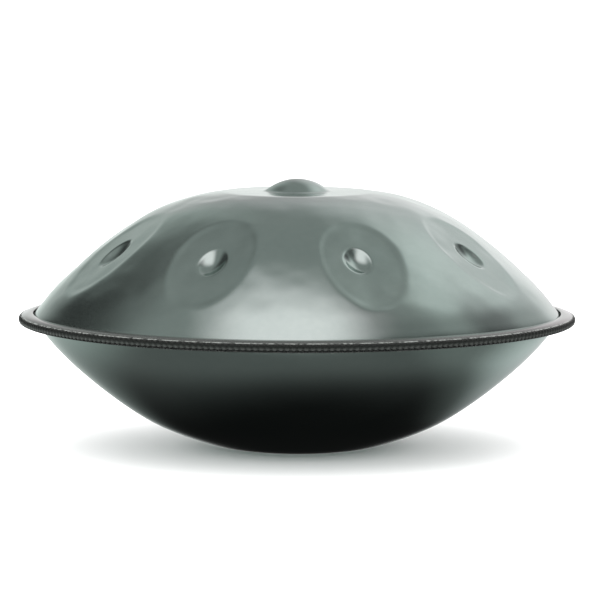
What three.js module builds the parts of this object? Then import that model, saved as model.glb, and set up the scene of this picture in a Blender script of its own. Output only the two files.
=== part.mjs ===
// A handpan: two shallow steel shells seamed rim to rim, with a rubber edge trim clipped over the seam.
// The upper shell is one sheet, hammered into a central ding and a ring of eight tone fields.
// The lower shell is a plain bowl, with the port and its neck formed in the middle.
// Millimetres, +Z up. The pan stands on the flat land round the port, at z = 0, and -Y is its front.

import * as THREE from 'three';

// Steel sheet and seam
const SHEET = 1.0;
const FIT_GAP = 0.3;
const ADHESIVE_THICK = 0.4;
const ADHESIVE_INNER_RADIUS = 255.6;
const ADHESIVE_SETBACK = 0.4;
const SEAM_HEIGHT = 126;
const FLANGE_RADIUS = 265.2;
const FLANGE_FACE = ADHESIVE_THICK / 2 + FIT_GAP;
const FLANGE_TOP = FLANGE_FACE + SHEET;

// Upper shell, as radius and height over the seam plane: a domed ding, a nearly level plateau, and the dome
const DING_RADIUS = 31.3;
const DING_HEIGHT = 12;
const DING_STEPS = 3;
const PLATEAU_HEIGHT = 123.75;
const CREASE_RADIUS = 72;
const CREASE_HEIGHT = 123.25;
const CROWN = [
  [CREASE_RADIUS, CREASE_HEIGHT], [88, 120.6], [105, 116.7], [135, 106.0], [165, 88.9],
  [195, 66.2], [220, 43.9], [241, 22.3], [250, 10.9], [254.2, 5.0],
];
const CROWN_STEPS = [1, 1, 2, 3, 3, 3, 2, 1, 1];
const CROWN_FOOT = [[254.8, 2.6], [255.2, FLANGE_TOP], [FLANGE_RADIUS, FLANGE_TOP]];

// Tone fields: near-flat ovals hammered into the cone of the upper shell, each with a dimple near its middle
const TONE_RADIUS = 188.5;
const TONE_SLOPE = 38.1;
const TONE_HALF_RADIAL = 60.5;
const TONE_HALF_ACROSS = 42;
const TONE_SINK = 3.2;
const TONE_CROWN_RADIUS = 850;
const TONE_BLEND = [0.9, 1.04];
const DIMPLE_HALF_RADIAL = 18.5;
const DIMPLE_HALF_ACROSS = 14.2;
const DIMPLE_DEPTH = 5.2;
// Azimuth in degrees from the front, size, dimple size, and the dimple's offset across and down the field.
// The largest and deepest notes are at the front, and the fields are a little unevenly spaced by hand.
const FIELDS = [
  { azimuth: -25.2, size: 1, dimple: 0.98, drift: [0, 0] },
  { azimuth: 19.2, size: 0.98, dimple: 0.92, drift: [-4, -4] },
  { azimuth: 61.5, size: 0.96, dimple: 1, drift: [0, 0] },
  { azimuth: 103, size: 0.93, dimple: 0.94, drift: [0, 0] },
  { azimuth: 151, size: 0.86, dimple: 0.86, drift: [0, 0] },
  { azimuth: 200, size: 0.88, dimple: 0.88, drift: [0, 0] },
  { azimuth: 248, size: 0.94, dimple: 0.95, drift: [0, 0] },
  { azimuth: 291.5, size: 1, dimple: 1.05, drift: [0, 0] },
];

// Lower shell, as radius and height over the seam plane
const PORT_RADIUS = 50;
const NECK_LENGTH = 34;
const NECK_TAPER = 2;
const PORT_BEND = 6;
const LAND_WIDTH = 4;
const LAND_RADIUS = PORT_RADIUS + PORT_BEND + LAND_WIDTH;
const BOWL = [
  [LAND_RADIUS, -SEAM_HEIGHT], [80, -122.6], [100, -116.6], [140, -100], [175, -77.9],
  [205, -54.2], [230, -30.8], [246, -12.2], [251.6, -4.4],
];
const BOWL_STEPS = [1, 1, 2, 2, 1, 1, 1, 1];
const BOWL_FOOT = [[253.3, -2.3], [255.2, -FLANGE_TOP], [FLANGE_RADIUS, -FLANGE_TOP]];

// Edge trim, as radius and half-height about the seam plane
const TRIM_RADIUS = 270;
const TRIM_LIP_RADIUS = 256;
const TRIM_LIP_HALF = 6.1;
const TRIM_RIDGE_RADIUS = 267;
const TRIM_RIDGE_HALF = 4;
const TRIM_NOSE_HALF = 3.6;
const TRIM_NOSE_ROUND = 2.6;
const SLOT_HALF = FLANGE_TOP + FIT_GAP;
const SLOT_FLOOR_RADIUS = FLANGE_RADIUS + 1;
const CORE_LINE = [[258, 3.25], [265, 2.5], [266.9, 2.3], [268.1, 1.3]];
const CORE_HALF_THICK = 0.2;
const CORE_CLEARANCE = 0.25;
const JOINT_GAP_DEG = 0.15;
const CORE_END_DEG = 0.5;

// Facets
const LINES_PER_FIELD = 8;
const TONE_SEGMENTS = LINES_PER_FIELD * FIELDS.length;
const TONE_WARP = 0.089;
const RIM_SEGMENTS = 48;

const rad = THREE.MathUtils.degToRad;

const FINISH = {
  nitridedSteel: { color: 0x8f9d98, roughness: 0.32, metalness: 1 },
  adhesive: { color: 0x2b2b29, roughness: 0.6, metalness: 0 },
  blackRubber: { color: 0x141414, roughness: 0.5, metalness: 0 },
  springSteel: { color: 0x9a9a98, roughness: 0.4, metalness: 1 },
};

function material(name) {
  return new THREE.MeshStandardMaterial({ name, ...FINISH[name] });
}

function part(name, geometry, finish) {
  const mesh = new THREE.Mesh(geometry, material(finish));
  mesh.name = name;
  mesh.position.z = SEAM_HEIGHT;
  return mesh;
}

function vectors(pairs) {
  return pairs.map(([radius, height]) => new THREE.Vector2(radius, height));
}

// Points along a smooth curve through the knots, with so many steps from each knot to the next
function smooth(knots, steps) {
  const curve = new THREE.SplineCurve(vectors(knots));
  const points = [curve.getPoint(0)];
  steps.forEach((count, span) => {
    for (let step = 1; step <= count; step += 1) {
      points.push(curve.getPoint((span + step / count) / steps.length));
    }
  });
  return points;
}

// The same line moved sideways by `distance`, to the right of its direction of travel
function offset(line, distance) {
  return line.map((point, i) => {
    const before = line[Math.max(i - 1, 0)];
    const after = line[Math.min(i + 1, line.length - 1)];
    const along = after.clone().sub(before).normalize();
    return new THREE.Vector2(point.x + along.y * distance, point.y - along.x * distance);
  });
}

// A lathe outline lies in its own XY plane, so the turned body is stood up onto +Z
function turned(outline, segments) {
  return new THREE.LatheGeometry(outline, segments).rotateX(Math.PI / 2);
}

// A section of radius and height, carried round the pan's axis from one azimuth to another
function sweptRing(section, fromDeg, toDeg) {
  const sweep = rad(toDeg - fromDeg);
  const geometry = new THREE.ExtrudeGeometry(section, {
    depth: sweep, steps: RIM_SEGMENTS, bevelEnabled: false, curveSegments: 2,
  });
  const place = geometry.attributes.position;
  for (let i = 0; i < place.count; i += 1) {
    const radius = place.getX(i);
    const azimuth = rad(toDeg) - place.getZ(i);
    place.setXYZ(i, radius * Math.sin(azimuth), -radius * Math.cos(azimuth), place.getY(i));
  }
  return geometry;
}

// ---- upper shell ----

// The skin of the upper shell, from the middle of the ding out to the edge of the flange
function crownSkin() {
  const capRadius = (DING_RADIUS ** 2 + DING_HEIGHT ** 2) / (2 * DING_HEIGHT);
  const spread = Math.asin(DING_RADIUS / capRadius);
  const ding = [];
  for (let i = 0; i < DING_STEPS; i += 1) {
    const turn = (spread * i) / DING_STEPS;
    const drop = capRadius * (1 - Math.cos(turn));
    ding.push(new THREE.Vector2(capRadius * Math.sin(turn), PLATEAU_HEIGHT + DING_HEIGHT - drop));
  }
  const plateau = vectors([[DING_RADIUS, PLATEAU_HEIGHT]]);
  return [...ding, ...plateau, ...smooth(CROWN, CROWN_STEPS), ...vectors(CROWN_FOOT)];
}

// The height of a skin where it passes a radius
function heightAt(skin, radius) {
  const next = skin.findIndex((point) => point.x > radius);
  const before = skin[next - 1];
  const share = (radius - before.x) / (skin[next].x - before.x);
  return before.y + share * (skin[next].y - before.y);
}

// A field with its place on the skin, and its directions across the slope, down it and out of it
function placedField(field, skin) {
  const azimuth = rad(field.azimuth);
  const slope = rad(TONE_SLOPE);
  const outward = new THREE.Vector3(Math.sin(azimuth), -Math.cos(azimuth), 0);
  const up = new THREE.Vector3(0, 0, 1);
  return {
    ...field,
    centre: outward.clone().multiplyScalar(TONE_RADIUS).addScaledVector(up, heightAt(skin, TONE_RADIUS)),
    across: new THREE.Vector3(Math.cos(azimuth), Math.sin(azimuth), 0),
    downhill: outward.clone().multiplyScalar(Math.cos(slope)).addScaledVector(up, -Math.sin(slope)),
    normal: outward.clone().multiplyScalar(Math.sin(slope)).addScaledVector(up, Math.cos(slope)),
  };
}

// How far a point of the plain dome moves along a field's normal when the field is hammered in
function hammered(point, field) {
  const from = point.clone().sub(field.centre);
  const across = from.dot(field.across);
  const downhill = from.dot(field.downhill);
  const halfAcross = TONE_HALF_ACROSS * field.size;
  const halfRadial = TONE_HALF_RADIAL * field.size;
  const reach = Math.hypot(across / halfAcross, downhill / halfRadial);
  const flat = 1 - THREE.MathUtils.smoothstep(reach, ...TONE_BLEND);
  const level = -TONE_SINK * field.size ** 2 - downhill ** 2 / (2 * TONE_CROWN_RADIUS);
  const dimpleAcross = (across - field.drift[0]) / DIMPLE_HALF_ACROSS;
  const dimpleDownhill = (downhill - field.drift[1]) / DIMPLE_HALF_RADIAL;
  const hollow = Math.hypot(dimpleAcross, dimpleDownhill) / field.dimple;
  const dimple = DIMPLE_DEPTH * field.dimple * Math.max(1 - hollow ** 2, 0);
  return flat * (level - from.dot(field.normal)) - dimple;
}

// The azimuth of each of the shell's lines, which crowd together towards the middles of the fields
function lineAzimuth(line) {
  const index = Math.floor(line / LINES_PER_FIELD);
  const share = (line % LINES_PER_FIELD) / LINES_PER_FIELD;
  const from = FIELDS[index].azimuth;
  const to = index + 1 < FIELDS.length ? FIELDS[index + 1].azimuth : FIELDS[0].azimuth + 360;
  return rad(from + (to - from) * (share - TONE_WARP * Math.sin(2 * Math.PI * share)));
}

function topShell() {
  const skin = crownSkin();
  const fields = FIELDS.map((field) => placedField(field, skin));
  const lining = offset(skin, SHEET);
  lining[0].set(0, skin[0].y - SHEET);
  const outline = [...lining, ...skin.toReversed()];
  const geometry = turned(outline, TONE_SEGMENTS);
  const place = geometry.attributes.position;
  for (let i = 0; i < place.count; i += 1) {
    const station = i % outline.length;
    const azimuth = lineAzimuth(Math.floor(i / outline.length) % TONE_SEGMENTS);
    const index = station < skin.length ? station : outline.length - 1 - station;
    const outward = new THREE.Vector3(Math.sin(azimuth), -Math.cos(azimuth), 0);
    const mother = outward.clone().multiplyScalar(skin[index].x).setZ(skin[index].y);
    const point = outward.clone().multiplyScalar(outline[station].x).setZ(outline[station].y);
    for (const field of fields) {
      point.addScaledVector(field.normal, hammered(mother, field));
    }
    place.setXYZ(i, point.x, point.y, point.z);
  }
  return part('top_shell', geometry, 'nitridedSteel');
}

// ---- lower shell ----

function bottomShell() {
  const neckTop = new THREE.Vector2(PORT_RADIUS - NECK_TAPER, PORT_BEND + NECK_LENGTH - SEAM_HEIGHT);
  const bend = new THREE.Path();
  bend.absarc(PORT_RADIUS + PORT_BEND, PORT_BEND - SEAM_HEIGHT, PORT_BEND, Math.PI, 1.5 * Math.PI, false);
  const skin = [neckTop, ...bend.getPoints(2), ...smooth(BOWL, BOWL_STEPS), ...vectors(BOWL_FOOT)];
  const lining = offset(skin, -SHEET);
  const outline = [...skin, ...lining.toReversed(), skin[0]];
  return part('bottom_shell', turned(outline, RIM_SEGMENTS), 'nitridedSteel');
}

// ---- seam ----

function rimAdhesive() {
  const half = ADHESIVE_THICK / 2;
  const inner = ADHESIVE_INNER_RADIUS;
  const outer = FLANGE_RADIUS - ADHESIVE_SETBACK;
  const outline = vectors([[outer, -half], [outer, half], [inner, half], [inner, -half], [outer, -half]]);
  return part('rim_adhesive', turned(outline, RIM_SEGMENTS), 'adhesive');
}

// Both sides of the core's line, mirrored about the seam plane into one U-shaped band
function coreBand(halfThick, endClearance) {
  const line = vectors(CORE_LINE);
  line[0].x -= endClearance;
  const whole = [...line, ...line.toReversed().map((point) => new THREE.Vector2(point.x, -point.y))];
  return [...offset(whole, -halfThick), ...offset(whole, halfThick).toReversed()];
}

function edgeTrim() {
  const section = new THREE.Shape();
  const noseRadius = TRIM_RADIUS - TRIM_NOSE_ROUND;
  const shoulder = TRIM_NOSE_HALF - TRIM_NOSE_ROUND;
  section.moveTo(TRIM_LIP_RADIUS, -TRIM_LIP_HALF);
  section.lineTo(TRIM_RIDGE_RADIUS, -TRIM_RIDGE_HALF);
  section.lineTo(noseRadius, -TRIM_NOSE_HALF);
  section.absarc(noseRadius, -shoulder, TRIM_NOSE_ROUND, -Math.PI / 2, 0, false);
  section.absarc(noseRadius, shoulder, TRIM_NOSE_ROUND, 0, Math.PI / 2, false);
  section.lineTo(TRIM_RIDGE_RADIUS, TRIM_RIDGE_HALF);
  section.lineTo(TRIM_LIP_RADIUS, TRIM_LIP_HALF);
  section.lineTo(TRIM_LIP_RADIUS, SLOT_HALF);
  section.lineTo(SLOT_FLOOR_RADIUS, SLOT_HALF);
  section.lineTo(SLOT_FLOOR_RADIUS, -SLOT_HALF);
  section.lineTo(TRIM_LIP_RADIUS, -SLOT_HALF);
  section.closePath();
  section.holes.push(new THREE.Path(coreBand(CORE_HALF_THICK + CORE_CLEARANCE, CORE_CLEARANCE)));
  const geometry = sweptRing(section, -180 + JOINT_GAP_DEG / 2, 180 - JOINT_GAP_DEG / 2);
  return part('edge_trim', geometry, 'blackRubber');
}

function trimClipCore() {
  const section = new THREE.Shape(coreBand(CORE_HALF_THICK, 0));
  return part('trim_clip_core', sweptRing(section, -180 + CORE_END_DEG, 180 - CORE_END_DEG), 'springSteel');
}

const handpan = new THREE.Group();
handpan.name = 'handpan';
handpan.add(topShell(), bottomShell(), rimAdhesive(), edgeTrim(), trimClipCore());

export default handpan;
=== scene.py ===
"""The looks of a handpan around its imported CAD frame: two nitrided steel shells and a ribbed rubber trim.

Everything is in metres in the row frame, +Z up, with the pan's axis on Z and its front towards -Y.
"""

import math

import bmesh
import bpy
import numpy as np
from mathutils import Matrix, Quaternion, Vector, noise


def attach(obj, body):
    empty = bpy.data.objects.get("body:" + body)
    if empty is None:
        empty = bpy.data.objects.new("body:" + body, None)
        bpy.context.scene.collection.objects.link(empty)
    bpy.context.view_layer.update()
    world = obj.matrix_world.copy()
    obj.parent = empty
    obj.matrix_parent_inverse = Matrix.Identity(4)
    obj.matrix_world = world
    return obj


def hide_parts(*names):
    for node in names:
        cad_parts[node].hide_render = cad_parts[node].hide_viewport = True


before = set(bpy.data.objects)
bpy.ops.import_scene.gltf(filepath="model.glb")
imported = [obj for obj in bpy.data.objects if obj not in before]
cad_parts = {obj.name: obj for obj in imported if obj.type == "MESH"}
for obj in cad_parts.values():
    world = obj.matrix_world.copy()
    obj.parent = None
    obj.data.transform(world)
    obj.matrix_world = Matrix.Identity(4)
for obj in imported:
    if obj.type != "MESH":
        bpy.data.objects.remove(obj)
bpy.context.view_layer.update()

MM = 0.001

# Driving dimensions, as in the CAD model, in millimetres. Heights are over the seam plane.
SHEET = 1.0
FIT_GAP = 0.3
ADHESIVE_THICK = 0.4
FLANGE_FACE = ADHESIVE_THICK / 2 + FIT_GAP
FLANGE_TOP = FLANGE_FACE + SHEET
FLANGE_RADIUS = 265.2
FLANGE_RINGS = (258, 261.5, FLANGE_RADIUS)
SEAM_HEIGHT = 126.0
DING_RADIUS = 31.3
DING_HEIGHT = 12
DING_CRISPNESS = 0.9
PLATEAU_HEIGHT = 123.75
PLATEAU_FALL = 0.012
CREASE_CRISPNESS = 4.0
# The knots of SHOULDER and BOWL began as a least-squares fit to the photograph's outline
SHOULDER = [
    (50, 127.2), (60, 125.5), (72, 123.35), (88, 120.6), (105, 116.7), (135, 106.0), (165, 88.9),
    (195, 66.2), (220, 43.9), (241, 22.3), (250, 10.9), (254.2, 5.0),
]
CROWN_FOOT = [(255.0, 3.2), (255.5, 1.95), (256.4, FLANGE_TOP)]

TONE_RADIUS = 188.5
TONE_SLOPE = 38.1
TONE_HALF_RADIAL = 60.5
TONE_HALF_ACROSS = 42
TONE_SINK = 3.2
TONE_CROWN_RADIUS = 850
TONE_BLEND = (0.87, 1.08)
DIMPLE_HALF_RADIAL = 18.5
DIMPLE_HALF_ACROSS = 14.2
DIMPLE_DEPTH = 5.2
DIMPLE_CRISPNESS = 3.0
DIMPLE_REACH = 1.6
# Each tone field's azimuth in degrees, its size, its dimple's size, and how far the dimple is off its middle
FIELDS = [
    (-25.2, 1, 0.98, (0, 0)), (19.2, 0.98, 0.92, (-4, -4)),
    (61.5, 0.96, 1, (0, 0)), (103, 0.93, 0.94, (0, 0)),
    (151, 0.86, 0.86, (0, 0)), (200, 0.88, 0.88, (0, 0)),
    (248, 0.94, 0.95, (0, 0)), (291.5, 1, 1.05, (0, 0)),
]

PORT_RADIUS = 50
NECK_LENGTH = 34
NECK_TAPER = 2
PORT_BEND = 6
LAND_WIDTH = 4
LAND_RADIUS = PORT_RADIUS + PORT_BEND + LAND_WIDTH
BOWL = [
    (LAND_RADIUS, -126), (80, -122.6), (100, -116.6), (140, -100), (175, -77.9),
    (205, -54.2), (230, -30.8), (246, -12.2), (251.6, -4.4),
]
BOWL_FOOT = [(252.6, -3.0), (253.8, -1.95), (255.4, -FLANGE_TOP)]

TRIM_RADIUS = 270
TRIM_LIP_RADIUS = 256
TRIM_LIP_HALF = 6.1
TRIM_LIP_ROUND = 0.6
TRIM_RIDGE_RADIUS = 267
TRIM_RIDGE_HALF = 4
TRIM_NOSE_HALF = 3.6
TRIM_NOSE_ROUND = 2.6
SLOT_HALF = FLANGE_TOP + FIT_GAP
SLOT_FLOOR_RADIUS = FLANGE_RADIUS + 1
LIP_UNDERCUT = 0.4
LIP_SETBACK = 0.5
RIBS = 288
RIB_DEPTH = 0.8
RIB_STEPS = 8
RIB_EDGE_BITE = 0.7
TOP_BULGE = 0.15

# Mesh density, and the dome's unevenness: two noises in millimetres that fade out towards the foot
TOP_LINES = 608
INNER_STEP = 4
BOWL_LINES = 360
BOWL_INNER_LINES = 120
BOWL_RINGS = 100
NECK_RINGS = 13
DIMPLE_CROWDING = 1.6
DIMPLE_CROWDING_DEG = 5.5
WAVE_HEIGHT = 0.9
WAVE_LENGTH = 48
RIPPLE_HEIGHT = 0.34
RIPPLE_LENGTH = 20
PLATEAU_WAVE = 0.3
PLATEAU_FADE = (70, 110)
FOOT_FADE = (232, 250)


# ---- curves and meshes ----

def natural_spline(knots):
    """A curve through the knots with no step in its curvature, by the length along the knots."""
    points = np.array(knots, float)
    reach = np.concatenate([[0], np.cumsum(np.hypot(*np.diff(points, axis=0).T))])
    gap = np.diff(reach)
    count = len(points)
    system = np.eye(count)
    load = np.zeros((count, 2))
    for i in range(1, count - 1):
        system[i, i - 1:i + 2] = gap[i - 1], 2 * (gap[i - 1] + gap[i]), gap[i]
        rise = (points[i + 1] - points[i]) / gap[i] - (points[i] - points[i - 1]) / gap[i - 1]
        load[i] = 6 * rise
    bend = np.linalg.solve(system, load)

    def curve(at):
        at = np.clip(np.asarray(at, float), 0, reach[-1])
        i = np.clip(np.searchsorted(reach, at, side="right") - 1, 0, count - 2)
        left, right = (at - reach[i])[:, None], (reach[i + 1] - at)[:, None]
        width = gap[i][:, None]
        return (
            (bend[i] * right ** 3 + bend[i + 1] * left ** 3) / (6 * width)
            + (points[i] / width - bend[i] * width / 6) * right
            + (points[i + 1] / width - bend[i + 1] * width / 6) * left
        )

    return curve, reach[-1]


def offset(line, distance):
    """The line moved sideways, to the right of its direction of travel."""
    along = np.gradient(line, axis=0)
    along /= np.linalg.norm(along, axis=1, keepdims=True)
    return line + distance * np.stack([along[:, 1], -along[:, 0]], axis=1)


def arc(centre, radius, start, end, steps):
    turn = np.radians(np.linspace(start, end, steps + 1))
    return np.stack([centre[0] + radius * np.cos(turn), centre[1] + radius * np.sin(turn)], axis=1)


def ring_points(line, azimuths):
    """Points of a line of radius and height, carried to each azimuth: an array of ring, azimuth and XYZ."""
    radius, height = line[:, 0][:, None], line[:, 1][:, None]
    azimuths = np.asarray(azimuths)[None, :]
    level = np.broadcast_to(height, (len(line), azimuths.shape[1]))
    return np.stack([radius * np.sin(azimuths), -radius * np.cos(azimuths), level], axis=2)


def even_azimuths(count):
    return np.linspace(0, 2 * math.pi, count, endpoint=False)


def band_faces(low, high, low_count, high_count):
    """Faces between two rings, where the count of one ring is a whole multiple of the other's."""
    faces = []
    fine, coarse = max(low_count, high_count), min(low_count, high_count)
    step = fine // coarse
    for i in range(fine):
        j = (i + 1) % fine
        a = low + (i if low_count == fine else (i // step))
        b = low + (j if low_count == fine else ((i + 1) // step) % coarse)
        c = high + (j if high_count == fine else ((i + 1) // step) % coarse)
        d = high + (i if high_count == fine else (i // step))
        faces.append([v for k, v in enumerate((a, b, c, d)) if v != (a, b, c, d)[k - 1]])
    return faces


def rings_to_mesh(name, rings, closed):
    """A mesh through a run of rings, each an array of points. A ring of one point is a pole."""
    starts = np.cumsum([0] + [len(ring) for ring in rings])
    pairs = list(zip(range(len(rings) - 1), range(1, len(rings))))
    if closed:
        pairs.append((len(rings) - 1, 0))
    faces = []
    for low, high in pairs:
        faces += band_faces(starts[low], starts[high], len(rings[low]), len(rings[high]))
    mesh = bpy.data.meshes.new(name)
    mesh.from_pydata((np.concatenate(rings) * MM).tolist(), [], faces)
    mesh.validate()
    return mesh


def add_piece(name, mesh, nodes, material, sharp_deg=40):
    """Puts a mesh in the frame at the seam's height, in place of its CAD nodes."""
    work = bmesh.new()
    work.from_mesh(mesh)
    bmesh.ops.recalc_face_normals(work, faces=work.faces)
    bmesh.ops.translate(work, verts=work.verts, vec=(0, 0, SEAM_HEIGHT * MM))
    work.to_mesh(mesh)
    work.free()
    mesh.shade_smooth()
    mesh.set_sharp_from_angle(angle=math.radians(sharp_deg))
    mesh.materials.append(material)
    piece = bpy.data.objects.new(name, mesh)
    bpy.context.scene.collection.objects.link(piece)
    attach(piece, "root")
    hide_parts(*nodes)


# ---- upper shell ----

def smoothstep(value, low, high):
    share = np.clip((value - low) / (high - low), 0, 1)
    return share * share * (3 - 2 * share)


def soft_max(first, second, crispness):
    """The larger of two heights, with the corner between them rounded."""
    return np.logaddexp(crispness * first, crispness * second) / crispness


def plateau_height(radius):
    return PLATEAU_HEIGHT - PLATEAU_FALL * (radius - DING_RADIUS)


def crown_line():
    """The skin of the upper shell, from the ding to the flange's edge, finest where the dimples are."""
    ding = np.concatenate([np.linspace(0, 28, 15)[:-1], np.linspace(28, 40, 13)[:-1]])
    flat = np.linspace(40, SHOULDER[0][0], 4)[:-1]
    centre = np.concatenate([ding, flat])
    curve, length = natural_spline(SHOULDER + CROWN_FOOT)
    spans = [(0, 14, 5), (14, 32, 14), (32, 124, 34), (124, 190, 42), (190, 243, 20), (243, length, 20)]
    shoulder = curve(np.concatenate([np.linspace(low, high, steps + 1)[:-1] for low, high, steps in spans]
                                    + [[length]]))
    shoulder[:, 1] = -soft_max(-shoulder[:, 1], -plateau_height(shoulder[:, 0]), CREASE_CRISPNESS)
    line = np.concatenate([np.stack([centre, plateau_height(centre)], axis=1), shoulder])
    cap_radius = (DING_RADIUS ** 2 + DING_HEIGHT ** 2) / (2 * DING_HEIGHT)
    drop = cap_radius - np.sqrt(np.maximum(cap_radius ** 2 - line[:, 0] ** 2, 0))
    cap = np.where(line[:, 0] < DING_RADIUS + 10, PLATEAU_HEIGHT + DING_HEIGHT - drop, 0)
    line[:, 1] = soft_max(cap, line[:, 1], DING_CRISPNESS)
    flange = np.array([(radius, FLANGE_TOP) for radius in FLANGE_RINGS])
    return np.concatenate([line, flange])


def tone_fields(skin):
    """Where each tone field lies on the dome, and the directions across it, down it and out of it."""
    slope = math.radians(TONE_SLOPE)
    height = np.interp(TONE_RADIUS, skin[:, 0], skin[:, 1])
    up = np.array([0, 0, 1])
    fields = []
    for azimuth_deg, size, dimple, drift in FIELDS:
        azimuth = math.radians(azimuth_deg)
        outward = np.array([math.sin(azimuth), -math.cos(azimuth), 0])
        fields.append({
            "size": size,
            "dimple": dimple,
            "drift": drift,
            "centre": outward * TONE_RADIUS + up * height,
            "across": np.array([math.cos(azimuth), math.sin(azimuth), 0]),
            "downhill": outward * math.cos(slope) - up * math.sin(slope),
            "normal": outward * math.sin(slope) + up * math.cos(slope),
        })
    return fields


def hammered(points, field):
    """How far each point of the plain dome moves along a field's normal when the field is hammered in."""
    size = field["size"]
    away = points - field["centre"]
    across, downhill, height = (away @ field[key] for key in ("across", "downhill", "normal"))
    reach = np.hypot(across / (TONE_HALF_ACROSS * size), downhill / (TONE_HALF_RADIAL * size))
    flat = 1 - smoothstep(reach, *TONE_BLEND)
    level = -TONE_SINK * size ** 2 - downhill ** 2 / (2 * TONE_CROWN_RADIUS)
    off_across, off_downhill = field["drift"]
    hollow = np.hypot((across - off_across) / DIMPLE_HALF_ACROSS,
                      (downhill - off_downhill) / DIMPLE_HALF_RADIAL) / field["dimple"]
    dimple = soft_max(0, DIMPLE_DEPTH * field["dimple"] * (1 - hollow ** 2), DIMPLE_CRISPNESS)
    return flat * (level - height) - np.where(hollow < DIMPLE_REACH, dimple, 0)


def waviness(points):
    """The hand-hammered unevenness of the sheet, in millimetres, fading out before the foot."""
    flat = points.reshape(-1, 3)
    wave = np.array([
        WAVE_HEIGHT * noise.noise(Vector(point / WAVE_LENGTH))
        + RIPPLE_HEIGHT * noise.noise(Vector(point / RIPPLE_LENGTH)) for point in flat
    ])
    radius = np.hypot(flat[:, 0], flat[:, 1])
    on_shoulder = smoothstep(radius, *PLATEAU_FADE)
    kept = (PLATEAU_WAVE + (1 - PLATEAU_WAVE) * on_shoulder) * (1 - smoothstep(radius, *FOOT_FADE))
    return (wave * kept).reshape(points.shape[:-1])


def shaped_crown(line, base_line, azimuths, fields):
    """Rings of a skin of the upper shell, moved as the tone fields move the outer skin above it."""
    points = ring_points(line, azimuths)
    plain = ring_points(base_line, azimuths)
    for field in fields:
        points = points + hammered(plain, field)[..., None] * field["normal"]
    points[..., 2] += waviness(plain)
    return points


def azimuth_lines(count):
    """Azimuths round the shell, closer together across the dimples."""
    turn = np.linspace(0, 2 * math.pi, 7201)
    density = np.ones_like(turn)
    for azimuth, *_ in FIELDS:
        away = (turn - math.radians(azimuth) + math.pi) % (2 * math.pi) - math.pi
        density += DIMPLE_CROWDING * np.exp(-(away / math.radians(DIMPLE_CROWDING_DEG)) ** 4)
    reach = np.concatenate([[0], np.cumsum((density[1:] + density[:-1]) / 2)])
    return np.interp(np.linspace(0, reach[-1], count, endpoint=False), reach, turn)


def top_shell(material):
    skin = crown_line()
    fields = tone_fields(skin)
    azimuths = azimuth_lines(TOP_LINES)
    outer = shaped_crown(skin, skin, azimuths, fields)
    lining_line = offset(skin, SHEET)
    kept = np.append(np.arange(1, len(skin) - 2, INNER_STEP), len(skin) - 1)
    inner = shaped_crown(lining_line[kept], skin[kept], azimuths[::INNER_STEP], fields)
    few = skin[1:, 0] < DING_RADIUS + 5
    outer_rings = [ring[::INNER_STEP] if coarse else ring for ring, coarse in zip(outer[1:], few)]
    top = outer[0][:1]
    under = top - (0, 0, SHEET)
    mesh = rings_to_mesh("top_shell_skin", [top, *outer_rings, *inner[::-1], under], closed=False)
    add_piece("top_shell_fine", mesh, ["top_shell"], material)


# ---- lower shell ----

def bowl_line():
    curve, length = natural_spline(BOWL + BOWL_FOOT)
    neck_foot = np.array([PORT_RADIUS, PORT_BEND - SEAM_HEIGHT])
    neck_top = np.array([PORT_RADIUS - NECK_TAPER, PORT_BEND + NECK_LENGTH - SEAM_HEIGHT])
    share = np.linspace(0, 1, NECK_RINGS + 1)[:-1, None]
    neck = neck_top + (neck_foot - neck_top) * share
    bend = arc((PORT_RADIUS + PORT_BEND, PORT_BEND - SEAM_HEIGHT), PORT_BEND, 180, 270, 12)
    bowl = curve(np.linspace(0, length, BOWL_RINGS))
    flange = np.array([(radius, -FLANGE_TOP) for radius in FLANGE_RINGS])
    return np.concatenate([neck, bend, bowl, flange])


def bottom_shell(material):
    skin = bowl_line()
    lining = offset(skin, -SHEET)[::-2]
    outer = ring_points(skin, even_azimuths(BOWL_LINES))
    inner = ring_points(lining, even_azimuths(BOWL_INNER_LINES))
    mesh = rings_to_mesh("bottom_shell_skin", [*outer, *inner], closed=True)
    add_piece("bottom_shell_fine", mesh, ["bottom_shell"], material)


# ---- edge trim ----

def trim_line():
    """The trim's section, and how deep the ribs bite at each point: full on the nose, none on the legs."""
    nose_radius = TRIM_RADIUS - TRIM_NOSE_ROUND
    shoulder = TRIM_NOSE_HALF - TRIM_NOSE_ROUND
    upper = arc((nose_radius, shoulder), TRIM_NOSE_ROUND, 90, 0, 6)
    lower = arc((nose_radius, -shoulder), TRIM_NOSE_ROUND, 0, -90, 6)
    lip, lip_face = TRIM_LIP_ROUND, TRIM_LIP_RADIUS
    corner = arc((lip_face + lip, TRIM_LIP_HALF - lip), lip, 180, 100, 4)
    ridge = (TRIM_RIDGE_RADIUS, TRIM_RIDGE_HALF)
    middle = ((lip_face + ridge[0]) / 2, (TRIM_LIP_HALF + ridge[1]) / 2 + TOP_BULGE)
    outside_top = np.array([(lip_face, SLOT_HALF + LIP_UNDERCUT), *corner, middle, ridge])
    outside_low = outside_top[::-1] * (1, -1)
    slot = np.array([
        (TRIM_LIP_RADIUS + LIP_SETBACK, -SLOT_HALF), (SLOT_FLOOR_RADIUS, -SLOT_HALF),
        (SLOT_FLOOR_RADIUS, SLOT_HALF), (TRIM_LIP_RADIUS + LIP_SETBACK, SLOT_HALF),
    ])
    section = np.concatenate([outside_top, upper, lower, outside_low, slot])
    bite = np.zeros(len(section))
    first = len(outside_top)
    bite[first:first + len(upper) + len(lower)] = 1
    bite[first] = bite[first + len(upper) + len(lower) - 1] = RIB_EDGE_BITE
    return section, bite


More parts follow.
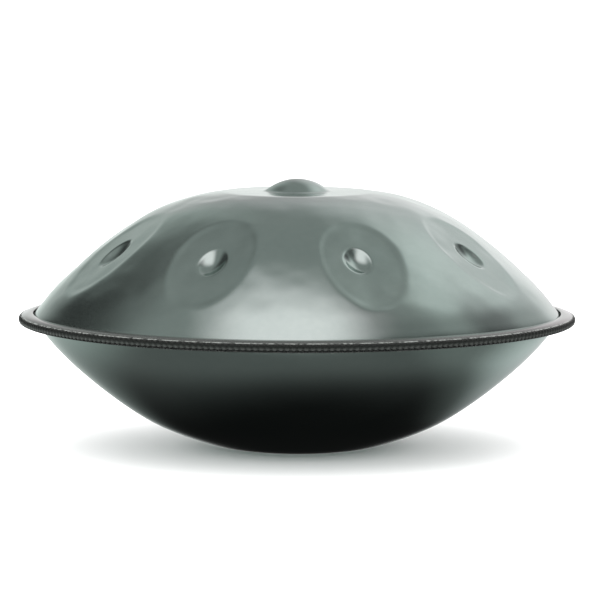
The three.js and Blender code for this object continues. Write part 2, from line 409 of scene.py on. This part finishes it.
def edge_trim(material):
    section, bite = trim_line()
    azimuths = even_azimuths(RIBS * RIB_STEPS)
    groove = np.clip(0.5 + 0.9 * np.cos(RIBS * azimuths), 0, 1)
    points = ring_points(section, azimuths)
    outward = np.stack([np.sin(azimuths), -np.cos(azimuths), np.zeros_like(azimuths)], axis=1)
    nose_radius = TRIM_RADIUS - TRIM_NOSE_ROUND
    face = np.stack([section[:, 0] - nose_radius, section[:, 1]], axis=1)
    face /= np.linalg.norm(face, axis=1, keepdims=True)
    depth = RIB_DEPTH * bite[:, None] * groove[None, :]
    points -= depth[..., None] * face[:, 0][:, None, None] * outward[None]
    points[..., 2] -= depth * face[:, 1][:, None]
    mesh = rings_to_mesh("edge_trim_skin", list(points), closed=True)
    add_piece("edge_trim_fine", mesh, ["edge_trim"], material, sharp_deg=60)


# ---- materials ----

class Nodes:
    """A short way to write a node tree."""

    def __init__(self, tree):
        self.tree = tree

    def add(self, kind, **settings):
        node = self.tree.nodes.new(kind)
        inputs = settings.pop("inputs", {})
        for key, value in settings.items():
            setattr(node, key, value)
        for key, value in inputs.items():
            if isinstance(value, bpy.types.NodeSocket):
                self.tree.links.new(value, node.inputs[key])
            else:
                node.inputs[key].default_value = value
        return node

    def math(self, operation, *values, clamp=False):
        inputs = dict(enumerate(values))
        return self.add("ShaderNodeMath", operation=operation, use_clamp=clamp, inputs=inputs).outputs[0]

    def dot(self, vector, axis):
        inputs = {0: vector, 1: tuple(axis)}
        return self.add("ShaderNodeVectorMath", operation="DOT_PRODUCT", inputs=inputs).outputs["Value"]

    def mix(self, share, first, second, blend="MIX"):
        """Two colours blended, each given as three numbers or as a socket."""
        node = self.add("ShaderNodeMix", data_type="RGBA", blend_type=blend, inputs={"Factor": share})
        for index, colour in ((6, first), (7, second)):
            if isinstance(colour, bpy.types.NodeSocket):
                self.tree.links.new(colour, node.inputs[index])
            else:
                node.inputs[index].default_value = (*colour, 1)
        return node.outputs[2]

    def axis_distance(self, split):
        squares = [self.math("POWER", split.outputs[axis], 2.0) for axis in (0, 1)]
        return self.math("SQRT", self.math("ADD", *squares))

    def noise(self, place, scale, detail):
        inputs = {"Vector": place, "Scale": scale, "Detail": detail}
        return self.add("ShaderNodeTexNoise", inputs=inputs).outputs["Fac"]

    def ramp(self, value, low, high, to_low=0.0, to_high=1.0):
        inputs = {"Value": value, "From Min": low, "From Max": high}
        inputs |= {"To Min": to_low, "To Max": to_high}
        node = self.add("ShaderNodeMapRange", interpolation_type="SMOOTHSTEP", inputs=inputs)
        return node.outputs["Result"]


def new_material(name):
    material = bpy.data.materials.new(name)
    material.use_nodes = True
    tree = material.node_tree
    return material, Nodes(tree), tree.nodes["Principled BSDF"]


def polar_place(nodes, per_radius, per_turn):
    """A texture place that runs round the pan's axis, so that a noise read there makes rings."""
    place = nodes.add("ShaderNodeTexCoord").outputs["Object"]
    split = nodes.add("ShaderNodeSeparateXYZ", inputs={0: place})
    radius = nodes.axis_distance(split)
    turn = nodes.math("ARCTAN2", split.outputs[0], split.outputs[1])
    return nodes.add("ShaderNodeCombineXYZ", inputs={
        0: nodes.math("MULTIPLY", radius, per_radius), 1: nodes.math("MULTIPLY", turn, per_turn),
        2: nodes.math("MULTIPLY", split.outputs[2], per_radius),
    }).outputs[0]


def steel_material(name):
    """Nitrided steel, grey-green, spun and sanded round the axis, with faint clouding from the furnace."""
    material, nodes, shader = new_material(name)
    place = nodes.add("ShaderNodeTexCoord").outputs["Object"]
    spun = nodes.noise(polar_place(nodes, 500.0, 5.0), 1.0, 3.0)
    grain = nodes.noise(place, 1400.0, 2.0)
    cloud = nodes.noise(place, 11.0, 3.0)
    speckle = nodes.noise(place, 160.0, 2.0)
    tone = nodes.math("ADD", nodes.ramp(cloud, 0.3, 0.7, 0.0, 0.7), nodes.ramp(speckle, 0.3, 0.7, 0.0, 0.3))
    tint = nodes.mix(tone, (0.392, 0.492, 0.456), (0.428, 0.528, 0.488))
    nodes.tree.links.new(tint, shader.inputs["Base Color"])
    rough = nodes.math("ADD", nodes.ramp(cloud, 0.3, 0.7, 0.13, 0.16), nodes.math("MULTIPLY", spun, 0.02))
    nodes.tree.links.new(rough, shader.inputs["Roughness"])
    relief = nodes.math("ADD", nodes.math("MULTIPLY", spun, 0.7), nodes.math("MULTIPLY", grain, 0.3))
    bump = nodes.add("ShaderNodeBump", inputs={"Strength": 0.05, "Distance": 0.0001, "Height": relief})
    nodes.tree.links.new(bump.outputs[0], shader.inputs["Normal"])
    shader.inputs["Metallic"].default_value = 1.0
    return material


def rubber_material():
    """Black extruded rubber: a satin top face and a dull nose, with painted light in its colour: a painted
    sheen on the faces, a painted highlight along the upper edge and a painted reflection on the teeth below.
    """
    material, nodes, shader = new_material("trim_rubber_look")
    place = nodes.add("ShaderNodeTexCoord").outputs["Object"]
    split = nodes.add("ShaderNodeSeparateXYZ", inputs={0: place})
    grain = nodes.noise(place, 1500.0, 2.0)
    patch = nodes.noise(place, 60.0, 3.0)
    speck = nodes.noise(place, 220.0, 2.0)
    radius = nodes.axis_distance(split)
    side = nodes.math("SUBTRACT", split.outputs[2], SEAM_HEIGHT * MM)
    on_nose = nodes.ramp(radius, (TRIM_RIDGE_RADIUS - 0.6) * MM, TRIM_RIDGE_RADIUS * MM)
    upper_edge = nodes.ramp(side, (TRIM_NOSE_HALF - 0.45) * MM, (TRIM_NOSE_HALF - 0.05) * MM)
    lower_half = nodes.ramp(side, 0.8 * MM, -1.2 * MM)
    crest = nodes.ramp(radius, (TRIM_RADIUS - RIB_DEPTH) * MM, (TRIM_RADIUS - 0.1) * MM, 0.03, 0.10)
    # Painted highlight: a lighter grey along the nose's upper edge, broken into dashes by noise.
    painted_edge_highlight = nodes.math("MULTIPLY", nodes.math("MULTIPLY", on_nose, upper_edge),
                              nodes.ramp(speck, 0.35, 0.6, 0.15, 0.8))
    # Painted reflection: a lighter grey on the rib crests of the nose's lower half.
    painted_teeth_reflection = nodes.math("MULTIPLY", nodes.math("MULTIPLY", on_nose, lower_half), crest)
    black = nodes.mix(patch, (0.001, 0.0012, 0.0011), (0.003, 0.0034, 0.0032))
    # Painted sheen: a lighter grey over the trim's faces off the nose, top face included.
    painted_face_sheen = nodes.ramp(on_nose, 0.0, 1.0, 0.17, 0.0)
    # The painted highlight, painted reflection and painted sheen lift the black base colour towards grey.
    painted_sheen_share = nodes.math("MAXIMUM", nodes.math("MAXIMUM", painted_edge_highlight, painted_teeth_reflection), painted_face_sheen)
    rubber_with_painted_light = nodes.mix(painted_sheen_share, black, (0.20, 0.21, 0.20))
    nodes.tree.links.new(rubber_with_painted_light, shader.inputs["Base Color"])
    dull = nodes.math("SUBTRACT", on_nose, nodes.math("MAXIMUM", upper_edge, lower_half))
    satin = nodes.ramp(patch, 0.3, 0.7, 0.14, 0.20)
    roughness = nodes.math("ADD", satin, nodes.math("MULTIPLY", dull, 0.3))
    nodes.tree.links.new(roughness, shader.inputs["Roughness"])
    shader.inputs["Specular IOR Level"].default_value = 0.55
    shader.inputs["Specular Tint"].default_value = (0.90, 1.0, 0.93, 1)
    bump = nodes.add("ShaderNodeBump", inputs={"Strength": 0.04, "Distance": 0.0001, "Height": grain})
    nodes.tree.links.new(bump.outputs[0], shader.inputs["Normal"])
    return material


def hidden_material(name, colour, metallic, roughness):
    """A plain grained finish for the pieces inside the seam."""
    material, nodes, shader = new_material(name)
    place = nodes.add("ShaderNodeTexCoord").outputs["Object"]
    grain = nodes.noise(place, 300.0, 3.0)
    tint = nodes.mix(grain, tuple(0.8 * part for part in colour), colour)
    nodes.tree.links.new(tint, shader.inputs["Base Color"])
    shader.inputs["Metallic"].default_value = metallic
    shader.inputs["Roughness"].default_value = roughness
    return material


def dress_cad_node(name, material):
    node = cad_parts[name]
    node.data.materials.clear()
    node.data.materials.append(material)


# ---- studio ----

DOME_STRENGTH = 2.4
FLOOR_SIDE = 60.0
FLOOR_DROP = 0.3
LAMP_SIDE = 3.0
LAMP_ENERGY = 20.0
LAMP_PLACE = (0, -1.2, 2.6)

# The camera: how far it stands and how high, its lens, and how its aim is shifted and rolled
CAMERA_DISTANCE = 4.5
CAMERA_ELEVATION = 5.95
CAMERA_LENS = 277.8
AIM_RIGHT = 2.87
AIM_UP = 17.25
CAMERA_ROLL = 0.0025


def direction(azimuth, elevation):
    """A unit vector. Azimuth 0 is away from the camera, and 90 is to its right."""
    turn, lift = math.radians(azimuth), math.radians(elevation)
    return Vector((math.cos(lift) * math.sin(turn), math.cos(lift) * math.cos(turn), math.sin(lift)))


# What the metal reflects. A row is azimuth, elevation, half width, half height, roll and softness, then the
# light a panel adds, or the share of light that a shade or a flag leaves. Shades darken the room, and flags
# darken room and panels. Most panels and shades, and the room's levels, are the rounded result of a
# least-squares fit to the shading in the photograph, later adjusted.
PANELS = [
    (-172, 65, 0.40, 0.41, -4, 0.60, (1.10, 0.93, 0.99)),
    (28, 33, 0.55, 0.30, -30, 0.75, (0.48, 0.44, 0.46)),
    (11, 5, 0.33, 0.27, -16, 0.43, (0.46, 0.43, 0.44)),
    (180, -45, 1.20, 0.45, 0, 0.50, (0.80, 0.80, 0.80)),
    (-19, 16, 0.18, 0.45, -10, 0.90, (0.44, 0.46, 0.45)),
    (71, 55, 0.50, 0.20, -12, 0.95, (0.31, 0.31, 0.31)),
    (85, -25, 2.10, 0.66, 0, 0.21, (0.085, 0.093, 0.09)),
    (-71, -24, 2.20, 0.29, -7, 0.95, (0.53, 0.59, 0.57)),
    (20, -21, 0.08, 0.40, -45, 0.95, (0.51, 0.54, 0.54)),
    (0, 6, 0.25, 0.07, 0, 0.80, (0.18, 0.22, 0.20)),
]
SHADES = [
    (-42, 22, 0.52, 0.83, -80, 0.95, 0.19), (107, 55, 0.35, 0.25, 80, 0.72, 0.0),
    (62, 34, 0.22, 0.18, 75, 0.70, 0.0), (2, -48, 0.47, 0.73, -3, 0.59, 0.05),
    (180, 8, 0.90, 0.30, 0, 0.50, 0.30),
]
ROOM_RISE = (-0.37, -0.2)
ROOM_LEVELS = (0.15, 0.34)
FLAGS = [(68, 34, 0.75, 0.16, -34, 0.80, 0.55), (-46, 36, 0.25, 0.35, 0, 0.90, 0.68)]


def panel_mask(nodes, ray, azimuth, elevation, half_width, half_height, roll, softness, round_corners):
    """1 inside a flat panel seen in that direction, falling softly to 0 outside its edge."""
    facing = direction(azimuth, elevation)
    right = facing.cross(Vector((0, 0, 1))).normalized()
    right.rotate(Quaternion(facing, math.radians(roll)))
    up = right.cross(facing)
    ahead = nodes.dot(ray, facing)
    depth = nodes.math("MAXIMUM", ahead, 0.05)
    across = nodes.math("DIVIDE", nodes.dot(ray, right / half_width), depth)
    along = nodes.math("DIVIDE", nodes.dot(ray, up / half_height), depth)
    power = 2.0 if round_corners else 6.0
    total = nodes.math("ADD", nodes.math("POWER", nodes.math("ABSOLUTE", across), power),
                       nodes.math("POWER", nodes.math("ABSOLUTE", along), power))
    edge = nodes.math("POWER", total, 1.0 / power)
    inside = nodes.ramp(edge, 1 + softness, 1 - softness)
    return nodes.math("MULTIPLY", inside, nodes.ramp(ahead, 0.0, 0.15))


def studio_reflections(nodes):
    """What the metal reflects: a dim grey room with shades, then soft panels, then flags over both."""
    ray = nodes.add("ShaderNodeTexCoord").outputs["Generated"]
    height = nodes.add("ShaderNodeSeparateXYZ", inputs={0: ray}).outputs[2]
    room = nodes.ramp(height, *ROOM_RISE, *ROOM_LEVELS)
    for azimuth, elevation, width, tall, roll, softness, left in SHADES:
        mask = panel_mask(nodes, ray, azimuth, elevation, width, tall, roll, softness, True)
        room = nodes.math("MULTIPLY", room, nodes.ramp(mask, 0, 1, 1, left))
    colour = nodes.add("ShaderNodeCombineColor", inputs={0: room, 1: room, 2: room}).outputs[0]
    for azimuth, elevation, width, tall, roll, softness, light in PANELS:
        mask = panel_mask(nodes, ray, azimuth, elevation, width, tall, roll, softness, False)
        colour = nodes.mix(mask, colour, light, "ADD")
    for azimuth, elevation, width, tall, roll, softness, left in FLAGS:
        mask = panel_mask(nodes, ray, azimuth, elevation, width, tall, roll, softness, True)
        colour = nodes.mix(mask, colour, (left, left, left), "MULTIPLY")
    return nodes.add("ShaderNodeBackground", inputs={"Color": colour, "Strength": 1.0}).outputs[0]


def studio_world():
    world = bpy.data.worlds.new("studio")
    bpy.context.scene.world = world
    world.use_nodes = True
    nodes = Nodes(world.node_tree)
    world.node_tree.nodes.clear()
    white = {"Color": (1, 1, 1, 1), "Strength": DOME_STRENGTH}
    dome = nodes.add("ShaderNodeBackground", inputs=white).outputs[0]
    seen = nodes.add("ShaderNodeLightPath").outputs["Is Glossy Ray"]
    mix = nodes.add("ShaderNodeMixShader", inputs={0: seen, 1: dome, 2: studio_reflections(nodes)})
    nodes.add("ShaderNodeOutputWorld", inputs={0: mix.outputs[0]})


def floor():
    """A plain pale floor. The metal doesn't mirror it, so the bowl's underside stays dark."""
    side = FLOOR_SIDE
    corners = [(-side, -side, 0), (side, -side, 0), (side, side, 0), (-side, side, 0)]
    mesh = bpy.data.meshes.new("floor")
    mesh.from_pydata(corners, [], [(0, 1, 2, 3)])
    material, _, shader = new_material("floor_white")
    shader.inputs["Base Color"].default_value = (0.92, 0.92, 0.92, 1)
    shader.inputs["Roughness"].default_value = 1.0
    shader.inputs["Specular IOR Level"].default_value = 0.0
    mesh.materials.append(material)
    plane = bpy.data.objects.new("floor", mesh)
    plane.location.z = -FLOOR_DROP * MM
    plane.visible_glossy = False
    bpy.context.scene.collection.objects.link(plane)


def overhead_light():
    light = bpy.data.lights.new("overhead", "AREA")
    light.shape = "RECTANGLE"
    light.size = LAMP_SIDE
    light.size_y = LAMP_SIDE
    light.energy = LAMP_ENERGY
    lamp = bpy.data.objects.new("overhead", light)
    lamp.location = LAMP_PLACE
    lamp.rotation_euler = (Vector((0, 0, 0)) - lamp.location).to_track_quat("-Z", "Y").to_euler()
    lamp.visible_glossy = False
    bpy.context.scene.collection.objects.link(lamp)


def camera():
    """A long lens from nearly level, a little above the rim."""
    elevation = math.radians(CAMERA_ELEVATION)
    centre = Vector((0, 0, SEAM_HEIGHT * MM))
    ahead = Vector((0, math.cos(elevation), -math.sin(elevation)))
    up = Vector((0, math.sin(elevation), math.cos(elevation)))
    data = bpy.data.cameras.new("camera")
    data.sensor_width = 36
    data.lens = CAMERA_LENS
    data.clip_end = 200
    view = bpy.data.objects.new("camera", data)
    view.location = centre - ahead * CAMERA_DISTANCE
    aim = centre + Vector((AIM_RIGHT * MM, 0, 0)) + up * AIM_UP * MM
    turn = (aim - view.location).to_track_quat("-Z", "Y") @ Quaternion((0, 0, 1), CAMERA_ROLL)
    view.rotation_euler = turn.to_euler()
    bpy.context.scene.collection.objects.link(view)
    bpy.context.scene.camera = view


camera()
steel = steel_material("nitrided_steel_look")
top_shell(steel)
bottom_shell(steel)
edge_trim(rubber_material())
dress_cad_node("rim_adhesive", hidden_material("adhesive_look", (0.03, 0.03, 0.028), 0.0, 0.6))
dress_cad_node("trim_clip_core", hidden_material("clip_steel_look", (0.35, 0.35, 0.34), 1.0, 0.4))
studio_world()
floor()
overhead_light()
bpy.context.scene.view_settings.view_transform = "Standard"
